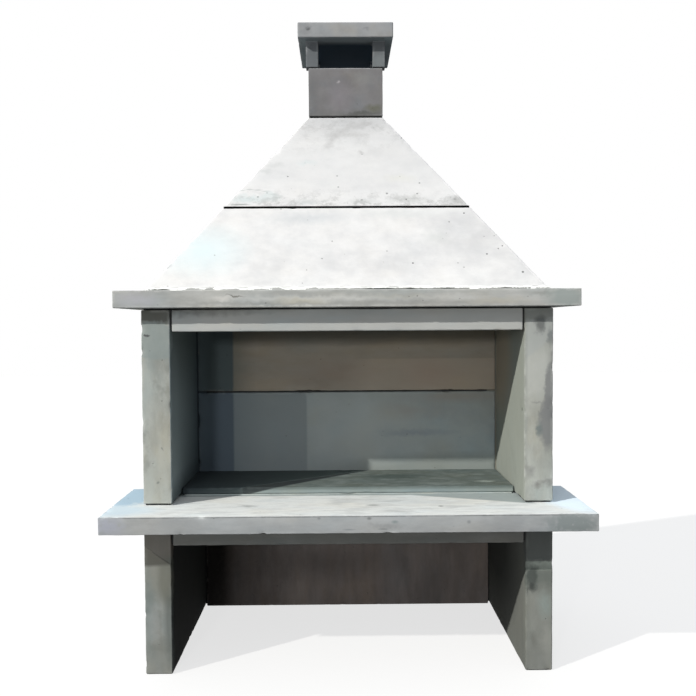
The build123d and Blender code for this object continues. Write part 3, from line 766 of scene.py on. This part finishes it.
def cloud_texture(name, size, ramp=None):
    """Texture for the displacement of a face, with a threshold for chips."""
    texture = bpy.data.textures.get(name) or bpy.data.textures.new(name, "CLOUDS")
    texture.noise_scale = size
    texture.noise_depth = 2
    if ramp:
        texture.use_color_ramp = True
        stops = texture.color_ramp.elements
        stops[0].position, stops[1].position = ramp
        stops[0].color = (1, 1, 1, 1)
        stops[1].color = (0, 0, 0, 1)
    return texture


def displace(texture, depth, group="", middle=1.0):
    """Moves the active piece's faces along their normals by a texture, and applies it."""
    piece = bpy.context.object
    modifier = piece.modifiers.new("wear", "DISPLACE")
    modifier.texture = texture
    modifier.texture_coords = "LOCAL"
    modifier.direction = "NORMAL"
    modifier.mid_level = middle
    modifier.strength = depth
    modifier.vertex_group = group
    bpy.ops.object.modifier_apply(modifier=modifier.name)


def fill_group(piece, name, weights):
    """Vertex group from a list of weights, rounded to tenths."""
    group = piece.vertex_groups.new(name=name)
    for tenth in range(1, 11):
        indices = [i for i, weight in enumerate(weights) if round(weight * 10) == tenth]
        group.add(indices, tenth / 10, "REPLACE")


def cut_copy(node, name, grid, edge_cut):
    """Copy of a CAD piece with its triangles joined again and a grid cut into its faces."""
    piece = bpy.data.objects.new(name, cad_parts[node].data.copy())
    bpy.context.scene.collection.objects.link(piece)
    bpy.ops.object.select_all(action="DESELECT")
    piece.select_set(True)
    bpy.context.view_layer.objects.active = piece
    if piece.data.has_custom_normals:
        bpy.ops.mesh.customdata_custom_splitnormals_clear()
    low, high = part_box(node)
    bpy.ops.object.mode_set(mode="EDIT")
    bpy.ops.mesh.select_all(action="SELECT")
    bpy.ops.mesh.remove_doubles(threshold=WELD)
    bpy.ops.mesh.dissolve_limited(angle_limit=FLAT_RADIANS)
    for axis in range(3):
        span = high[axis] - low[axis]
        count = max(1, round(span / grid))
        cuts = [low[axis] + span * i / count for i in range(1, count)]
        if span > 4 * edge_cut:
            cuts += [low[axis] + edge_cut, high[axis] - edge_cut]
        for cut in cuts:
            bpy.ops.mesh.select_all(action="SELECT")
            bpy.ops.mesh.bisect(plane_co=[cut if i == axis else 0 for i in range(3)],
                                plane_no=[1 if i == axis else 0 for i in range(3)])
    bpy.ops.object.mode_set(mode="OBJECT")
    return piece


def finish_piece(piece, node, material):
    """Gives a finished piece its material and its place in the object."""
    piece.data.materials.clear()
    piece.data.materials.append(material)
    bpy.ops.object.shade_smooth_by_angle(angle=math.radians(SMOOTH_DEGREES))
    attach(piece, "root")
    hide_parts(node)


def worn_piece(node, material, wave=1.0, crumble=1.0, chips=1.0):
    """Wears a cut copy of a CAD piece: hollows in its faces, crumbled and chipped arrises.

    All of it goes inwards, so the piece stays inside the CAD piece.
    """
    wear = bpy.context.scene.barbecue_wear
    piece = cut_copy(node, node + "_worn", wear.grid, wear.edge_cut)
    weights = weights_near_arrises(piece.data, wear.arris_width)
    fill_group(piece, "arris", weights)
    rubbing = piece.data.attributes.new("rubbing", "FLOAT", "POINT")
    rubbing.data.foreach_set("value", weights)
    standing = [v.index for v in piece.data.vertices if v.co.z < STANDS_BELOW]
    displace(cloud_texture("face wave", wear.wave_width), wear.wave * wave)
    displace(cloud_texture("arris crumble", wear.crumble_width), wear.crumble * crumble, "arris")
    chipped = cloud_texture("arris chips", wear.chip_width, CHIP_THRESHOLDS)
    displace(chipped, wear.chip * chips, "arris")
    for index in standing:
        piece.data.vertices[index].co.z = 0
    finish_piece(piece, node, material)


class Step:
    """What the steps that make pieces share: each builds with the scene's colours."""

    def execute(self, context):
        self.build(context.scene.barbecue_colours)
        return {"FINISHED"}


class BARBECUE_OT_base(Step, bpy.types.Operator):
    """Legs, and the panel and lintel between them"""
    bl_idname = "barbecue.base"
    bl_label = "Base"

    def build(self, colours):
        legs = cast_concrete(
            "Precast concrete, board marked, weathered leg", *tones(colours.leg, 0.7, 0.12),
            streak=(1, 1, 2.2), blotch=solid(colours.stain), blotch_share=0.3, spots=LEG_SPOTS,
            coats=LEG_COATS, wash=left_leg_painted_shadow, bare=0.12)
        for node in ("leg_left", "leg_right"):
            worn_piece(node, legs)
        panel = cast_concrete(
            "Precast concrete, board marked, damp panel", *tones(colours.store_panel, 0.62, 0.1),
            streak=(1, 1, 3.0), spots=STORE_SPOTS)
        worn_piece("lower_back_panel", panel)
        lintel = cast_concrete(
            "Precast concrete, smooth mould, lower lintel",
            *tones(colours.lower_lintel, 0.82, 0.1), streak=(3.0, 1, 1))
        worn_piece("lower_lintel", lintel, chips=0.6)


class BARBECUE_OT_worktop(Step, bpy.types.Operator):
    """Worktop slab and the slab behind it"""
    bl_idname = "barbecue.worktop"
    bl_label = "Worktop"

    def build(self, colours):
        worktop = cast_concrete(
            "Precast concrete, trowelled top and moulded sides",
            *tones(colours.worktop_side, 0.74, 0.16), streak=(2.4, 1, 1), top=colours.worktop_top,
            spots=WORKTOP_SPOTS, coats=WORKTOP_COATS, wash=hearth_front_grey, tint=0.4)
        worn_piece("worktop_slab", worktop)
        worn_piece("rear_base_slab", worktop)


class BARBECUE_OT_firebox(Step, bpy.types.Operator):
    """Hearth, walls, back panels and upper lintel"""
    bl_idname = "barbecue.firebox"
    bl_label = "Firebox"

    def build(self, colours):
        hearth = cast_concrete(
            "Refractory concrete, trowelled and smoked", *tones(colours.hearth_side, 0.8, 0.08),
            streak=(2.0, 1, 1), top=colours.hearth_top, spots=HEARTH_SPOTS, coats=HEARTH_COATS,
            wash=hearth_painted_shadow, bare=0.08)
        worn_piece("hearth_slab", hearth, crumble=0.4, chips=0.2)
        walls = cast_concrete(
            "Precast concrete, board marked, weathered wall", *tones(colours.upright, 0.7, 0.16),
            streak=(1, 1, 2.0), cloud=0.16, blotch=solid(colours.stain), blotch_share=0.45,
            spots=WALL_SPOTS, coats=WALL_COATS)
        for node in ("wall_left", "wall_right"):
            worn_piece(node, walls)
        upper = cast_concrete(
            "Refractory concrete, heat browned panel", *tones(colours.panel_upper, 0.8, 0.06),
            streak=(2.6, 1, 1), spots=UPPER_PANEL_SPOTS, coats=UPPER_PANEL_COATS, wash=panel_painted_light)
        worn_piece("back_panel_upper", upper)
        lower = cast_concrete(
            "Refractory concrete, smooth panel", *tones(colours.panel_lower, 0.84, 0.06),
            streak=(1.6, 1, 1.4), spots=LOWER_PANEL_SPOTS, coats=LOWER_PANEL_COATS)
        worn_piece("back_panel_lower", lower)
        lintel = cast_concrete(
            "Precast concrete, smooth mould, upper lintel", *tones(colours.lintel, 0.88, 0.08),
            streak=(3.0, 1, 1), spots=LINTEL_SPOTS)
        worn_piece("upper_lintel", lintel, chips=0.4)


class BARBECUE_OT_mantel(Step, bpy.types.Operator):
    """Mantel slab"""
    bl_idname = "barbecue.mantel"
    bl_label = "Mantel"

    def build(self, colours):
        mantel = cast_concrete(
            "Precast concrete, floated and streaked", *tones(colours.mantel, 0.66, 0.24),
            streak=(3.2, 1, 1), spots=MANTEL_SPOTS, coats=MANTEL_COATS, wash=mortar_smears,
            streaky=0.5)
        worn_piece("mantel_slab", mantel, crumble=0.5, chips=0.5)


class BARBECUE_OT_hood(Step, bpy.types.Operator):
    """Both sections of the pyramid hood"""
    bl_idname = "barbecue.hood"
    bl_label = "Hood"

    def build(self, colours):
        cement = cast_concrete(
            "White cement, cast and brushed", solid(colours.hood), solid(colours.hood_cloud),
            lighter(colours.hood, 0.35), cloud=0.34, grain=0.6, pits=0.9, streak=(1.5, 1, 1),
            spots=HOOD_SPOTS, coats=HOOD_COATS, tint=0.12, wash=hood_grime)
        for node in ("hood_lower", "hood_upper"):
            worn_piece(node, cement, wave=0.7, crumble=0.7, chips=0.5)


class BARBECUE_OT_flue(Step, bpy.types.Operator):
    """Flue block and rain cap"""
    bl_idname = "barbecue.flue"
    bl_label = "Flue and cap"

    def build(self, colours):
        block = cast_concrete(
            "Dark concrete, vibrated block", *tones(colours.flue, 0.84, 0.06), cloud=0.12,
            spots=FLUE_SPOTS, coats=FLUE_COATS)
        worn_piece("chimney_block", block, wave=0.6, crumble=0.5, chips=0.4)
        cap = cast_concrete(
            "Dark concrete, cast cap", *tones(colours.cap, 0.84, 0.06), cloud=0.1, spots=CAP_SPOTS,
            coats=CAP_COATS)
        worn_piece("chimney_cap", cap, wave=0.5, crumble=0.3, chips=0.2)


class BARBECUE_OT_mortar(Step, bpy.types.Operator):
    """Mortar in the joints and squeezed out under the hood"""
    bl_idname = "barbecue.mortar"
    bl_label = "Mortar"

    def build(self, colours):
        wear = bpy.context.scene.barbecue_wear
        grey = cast_concrete(
            "Cement mortar, raked out", *tones(colours.joint, 0.7, 0.06), cloud=0.06)
        pale = cast_concrete(
            "Cement mortar, pointed flush", *tones(colours.pale_joint, 0.8, 0.06), cloud=0.06)
        back = cast_concrete(
            "Fireclay mortar, pointed flush", *tones(colours.joint, 0.7, 0.06), cloud=0.06,
            coats=JOINT_COATS)
        # Painted shade: black mortar in the hood's joint and under the flue, for the shade in a
        # deep gap.
        black = cast_concrete(
            "Cement mortar, black as painted shade", solid(linear("#0E0E0E")),
            solid(linear("#080808")), solid(linear("#161616")), cloud=0.06)
        special = {"mortar_hearth_bed": pale, "mortar_back_joints": back,
                   "mortar_hood_joint": black, "mortar_chimney_bed": black}
        for node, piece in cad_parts.items():
            if node.startswith("mortar_") and node != "mortar_hood_base":
                piece.data.materials.clear()
                piece.data.materials.append(special.get(node, grey))
        for node, inner in (("mortar_hearth_bed", 0.0), ("mortar_back_joints", CORNERS_FROM)):
            piece = cut_copy(node, node + "_pointed", POINTED_GRID, MORTAR_EDGE_CUT)
            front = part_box(node)[0].y
            for vertex in piece.data.vertices:
                if vertex.co.y < front + ON_FRONT and abs(vertex.co.x) > inner:
                    vertex.co.y -= POINTED_BY
            finish_piece(piece, node, special[node])
        squeezed = cast_concrete(
            "Cement mortar, squeezed out and left rough", *tones(colours.hood_mortar, 0.85, 0.1),
            cloud=0.05, coats=MORTAR_COATS, wash=white_lumps, tint=0.1)
        node = "mortar_hood_base"
        bed = cut_copy(node, node + "_squeezed", SQUEEZED_GRID, MORTAR_EDGE_CUT)
        low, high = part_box(node)
        middle = (low + high) / 2
        outside = []
        for vertex, normal in zip(bed.data.vertices, bed.data.vertex_normals):
            reach = (vertex.co - middle).xy
            outwards = normal.vector.xy.dot(reach) > SQUEEZE_OUTWARDS * reach.length
            outside.append(1.0 if outwards else 0.0)
        fill_group(bed, "outside", outside)
        lumps = cloud_texture("mortar lumps", wear.squeeze_width)
        displace(lumps, wear.squeeze, "outside", SQUEEZE_MIDDLE)
        for vertex in bed.data.vertices:
            vertex.co.z = min(max(vertex.co.z, low.z), high.z + SQUEEZE_RISE)
        finish_piece(bed, node, squeezed)


def seen_by_camera(tree):
    """1 for what the camera sees, straight or in a reflection, and 0 for light on its way."""
    rays = add_node("LightPath", tree=tree).outputs
    mirrored = maths("MAXIMUM", rays["Is Glossy Ray"], rays["Is Transmission Ray"])
    return maths("MAXIMUM", rays["Is Camera Ray"], mirrored)


class BARBECUE_OT_stage(bpy.types.Operator):
    """Pale floor, soft light and the camera"""
    bl_idname = "barbecue.stage"
    bl_label = "Stage"

    def execute(self, context):
        stage = context.scene.barbecue_stage
        colours = context.scene.barbecue_colours
        bpy.ops.object.select_all(action="DESELECT")
        bpy.ops.mesh.primitive_plane_add(size=FLOOR_SIZE, location=(0, 0, 0))
        floor = context.object
        floor.name = "floor"
        material = bpy.data.materials.new("Pale studio floor")
        material.use_nodes = True
        tree = material.node_tree
        shader = tree.nodes["Principled BSDF"]
        shader.inputs["Roughness"].default_value = 0.9
        glow = add_node("Emission", {"Color": (1, 1, 1, 1), "Strength": 1.0}, tree)
        seen = seen_by_camera(tree)
        bounced = mixed(seen, darker(colours.floor, FLOOR_BOUNCE), solid(colours.floor))
        tree.links.new(bounced, shader.inputs["Base Color"])
        blend = add_node("MixShader", {
            0: times(seen, FLOOR_GLOW), 1: shader.outputs[0], 2: glow.outputs[0]})
        tree.links.new(blend.outputs[0], tree.nodes["Material Output"].inputs["Surface"])
        floor.data.materials.append(material)

        world = bpy.data.worlds.new("Studio")
        context.scene.world = world
        world.use_nodes = True
        tree = world.node_tree
        soft = tree.nodes["Background"]
        soft.inputs["Color"].default_value = solid(linear("#F3F8FF"))
        towards = add_node("TexCoord", tree=tree).outputs["Generated"]
        height = places(towards)[2]
        strength = between(height, 0.0, 0.8, stage.horizon, stage.sky)
        tree.links.new(strength, soft.inputs["Strength"])
        white = add_node("Background", {"Color": (1, 1, 1, 1), "Strength": 1.0}, tree)
        blend = add_node("MixShader", {
            0: seen_by_camera(tree), 1: soft.outputs[0], 2: white.outputs[0]})
        tree.links.new(blend.outputs[0], tree.nodes["World Output"].inputs["Surface"])

        bpy.ops.object.light_add(type="SUN", location=KEY_PLACE)
        key = context.object
        key.name = "key_light"
        key.data.energy = stage.sun
        key.data.angle = math.radians(KEY_DEGREES)
        key.data.color = linear("#FFFCF6")
        key.rotation_euler = Vector(KEY_DIRECTION).to_track_quat("-Z", "Y").to_euler()

        bpy.ops.object.light_add(type="AREA", location=BOX_PLACE)
        box = context.object
        box.name = "fill_light"
        box.data.energy = stage.fill
        box.data.size = BOX_SIZE
        box.rotation_euler = Vector(BOX_DIRECTION).to_track_quat("-Z", "Y").to_euler()

        bpy.ops.object.camera_add(location=(stage.camera_x, stage.camera_y, stage.camera_z))
        camera = context.object
        camera.name = "camera"
        camera.data.sensor_width = SENSOR_WIDTH
        camera.data.lens = stage.lens
        camera.data.clip_end = 100
        aim = (Matrix.Rotation(-stage.turn, 3, "Z")
               @ Matrix.Rotation(math.pi / 2 - stage.dip, 3, "X")
               @ Matrix.Rotation(stage.roll, 3, "Z"))
        camera.rotation_euler = aim.to_euler()
        context.scene.camera = camera
        context.scene.view_settings.view_transform = "Standard"
        return {"FINISHED"}


class BARBECUE_PT_panel(bpy.types.Panel):
    """Settings and steps of the barbecue"""
    bl_idname = "BARBECUE_PT_panel"
    bl_label = "Masonry barbecue"
    bl_space_type = "VIEW_3D"
    bl_region_type = "UI"
    bl_category = "Barbecue"

    def draw(self, context):
        for group_name in GROUPS:
            group = getattr(context.scene, group_name)
            column = self.layout.column()
            for name in group.__annotations__:
                column.prop(group, name)
        for step in STEPS:
            self.layout.operator(step.bl_idname)


STEPS = (BARBECUE_OT_base, BARBECUE_OT_worktop, BARBECUE_OT_firebox, BARBECUE_OT_mantel,
         BARBECUE_OT_hood, BARBECUE_OT_flue, BARBECUE_OT_mortar, BARBECUE_OT_stage)
GROUPS = {"barbecue_wear": BarbecueWear, "barbecue_colours": BarbecueColours,
          "barbecue_stage": BarbecueStage}


def register():
    for item in (*GROUPS.values(), *STEPS, BARBECUE_PT_panel):
        bpy.utils.register_class(item)
    for name, group in GROUPS.items():
        setattr(bpy.types.Scene, name, PointerProperty(type=group))


def unregister():
    for name in GROUPS:
        delattr(bpy.types.Scene, name)
    for item in (BARBECUE_PT_panel, *STEPS, *GROUPS.values()):
        bpy.utils.unregister_class(item)


def main():
    register()
    for step in STEPS:
        group, name = step.bl_idname.split(".")
        getattr(getattr(bpy.ops, group), name)()


if __name__ == "__main__":
    main()
